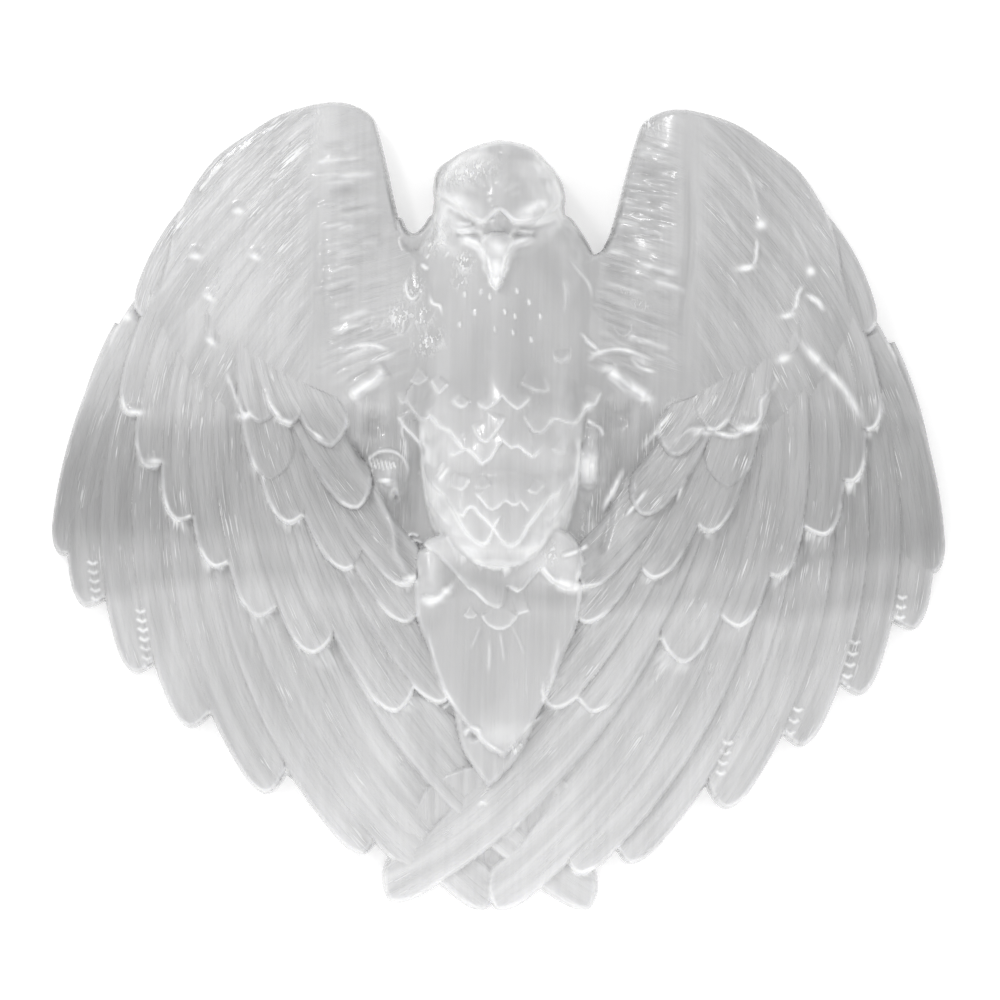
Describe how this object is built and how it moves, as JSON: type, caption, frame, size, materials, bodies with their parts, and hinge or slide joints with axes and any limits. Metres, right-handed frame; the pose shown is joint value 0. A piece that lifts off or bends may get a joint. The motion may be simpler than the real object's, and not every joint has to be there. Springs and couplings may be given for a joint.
{
  "type": "selenite eagle carving",
  "caption": "Flat-backed translucent stone carving of an eagle with raised wings wrapped round its body, an ornament that lies on its back.",
  "frame": {"origin": "middle of the flat back, on the surface that the carving lies on", "axes": "+Y towards the eagle's head, +X to the viewer's right when looking at the carved side, +Z out of the carved side"},
  "size_m": [0.1498, 0.1347, 0.0275],
  "materials": {
    "selenite": "polished fibrous selenite, milky and translucent, with silky bands across the fibres"
  },
  "bodies": {
    "root": {"eagle_carving": "selenite"}
  },
  "joints": []
}
